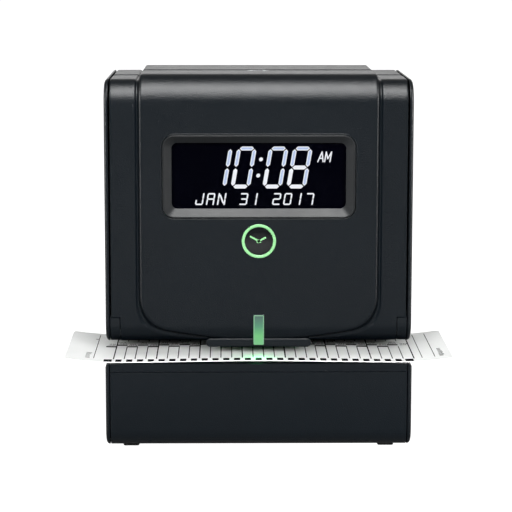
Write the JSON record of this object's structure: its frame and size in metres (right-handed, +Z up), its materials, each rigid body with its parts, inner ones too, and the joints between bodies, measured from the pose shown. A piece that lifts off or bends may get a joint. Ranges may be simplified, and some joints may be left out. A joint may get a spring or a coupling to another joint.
{
  "type": "punch time clock",
  "caption": "Desktop punch time clock with an overhanging head, a recessed digital display, a card throat open at three sides and a thermal printer behind a hinged cover.",
  "frame": {"origin": "middle of the footprint, on the surface the feet stand on", "axes": "+Z up, front and card throat towards -Y, +X to the right seen from the front"},
  "size_m": [0.2286, 0.128, 0.22],
  "materials": {
    "shell": "fine satin grain, charcoal black",
    "shell_dark": "satin black",
    "bezel": "satin dark grey",
    "window": "clear tinted window",
    "lcd": "black liquid-crystal panel",
    "backlight": "white diffuser",
    "ring": "light green",
    "badge": "glossy black",
    "light_guide": "frosted, lit green from behind",
    "rubber": "matt black",
    "steel": "zinc plated",
    "bright_steel": "ground",
    "casting": "machined",
    "board": "green solder mask",
    "component": "black moulding",
    "brass": "turned",
    "copper": "enamelled winding under tape",
    "battery": "shrink-wrapped",
    "cable": "grey flat cable",
    "motor": "black enamel",
    "button": "off-white",
    "carriage": "glass-filled black",
    "ceramic": "glazed",
    "card": "uncoated card, printed rules"
  },
  "bodies": {
    "clock": {"base_plate": "steel", "base_cover": "shell", "card_table": "shell", "platen_strip": "rubber", "left_side_panel": "shell", "right_side_panel": "shell", "left_frame": "shell_dark", "right_frame": "shell_dark", "rear_frame": "steel", "top_crossbar": "steel", "head_floor": "shell_dark", "card_back_wall": "shell_dark", "rear_cover": "shell", "cover_hinge_pins": "bright_steel", "front_left_foot": "rubber", "front_right_foot": "rubber", "rear_left_foot": "rubber", "rear_right_foot": "rubber", "base_screws": "steel", "power_jack": "component", "power_board": "board", "power_transformer": "copper", "backup_battery": "battery", "main_board": "board", "board_standoffs": "brass", "board_components": "component", "sounder": "component", "display_bracket": "steel", "display_board": "board", "backlight": "backlight", "lcd_glass": "lcd", "display_ribbon": "cable", "guide_led": "backlight", "card_sensor": "component", "print_bridge": "steel", "guide_rods": "bright_steel", "stepper_motor": "motor", "drive_belt": "rubber"},
    "cover": {"front_cover": "shell", "display_bezel": "bezel", "display_lens": "window", "badge_ring": "ring", "badge_disc": "badge", "light_bar": "light_guide", "print_nose": "shell_dark", "lock_housing": "bright_steel"},
    "lock": {"lock_barrel": "bright_steel", "lock_cam": "steel"},
    "button_1": {"set_button_1": "button"},
    "button_2": {"set_button_2": "button"},
    "button_3": {"set_button_3": "button"},
    "motor_rotor": {"motor_pulley": "casting"},
    "idler": {"idler_pulley": "casting"},
    "carriage": {"print_carriage": "carriage", "press_solenoid": "copper", "head_springs": "steel"},
    "print_head": {"print_head_block": "casting", "thermal_head": "ceramic", "press_yoke": "bright_steel"},
    "card": {"time_card": "card"}
  },
  "joints": [
    {"name": "cover_hinge", "type": "hinge", "parent": "clock", "child": "cover", "pos_m": [0, -0.05, 0.068], "axis": [1, 0, 0], "range_deg": [0, 75]},
    {"name": "lock_turn", "type": "hinge", "parent": "cover", "child": "lock", "pos_m": [0, -0.0125, 0.201], "axis": [0, 0, -1], "range_deg": [0, 90]},
    {"name": "set_button_1_press", "type": "slide", "parent": "clock", "child": "button_1", "axis": [0, 1, 0], "range_m": [0, 0.0006], "stiffness_N_per_m": 600},
    {"name": "set_button_2_press", "type": "slide", "parent": "clock", "child": "button_2", "axis": [0, 1, 0], "range_m": [0, 0.0006], "stiffness_N_per_m": 600},
    {"name": "set_button_3_press", "type": "slide", "parent": "clock", "child": "button_3", "axis": [0, 1, 0], "range_m": [0, 0.0006], "stiffness_N_per_m": 600},
    {"name": "carriage_slide", "type": "slide", "parent": "clock", "child": "carriage", "axis": [0, 1, 0], "range_m": [0, 0.025]},
    {"name": "motor_spin", "type": "hinge", "parent": "clock", "child": "motor_rotor", "pos_m": [0.037, 0.019, 0.093], "axis": [-1, 0, 0], "range_deg": [0, 290]},
    {"name": "idler_spin", "type": "hinge", "parent": "clock", "child": "idler", "pos_m": [0.037, -0.0276, 0.093], "axis": [-1, 0, 0], "range_deg": [0, 290]},
    {"name": "head_press", "type": "slide", "parent": "carriage", "child": "print_head", "axis": [0, 0, -1], "range_m": [0, 0.0092], "stiffness_N_per_m": 200, "springref_m": -0.01, "deforming": ["head_springs"]},
    {"name": "card_slide", "type": "slide", "parent": "clock", "child": "card", "axis": [0, -1, 0], "range_m": [0, 0.12]}
  ],
  "couplings": [
    {"joint": "motor_spin", "follows": "carriage_slide", "rad_per_m": 200},
    {"joint": "idler_spin", "follows": "carriage_slide", "rad_per_m": 200}
  ]
}
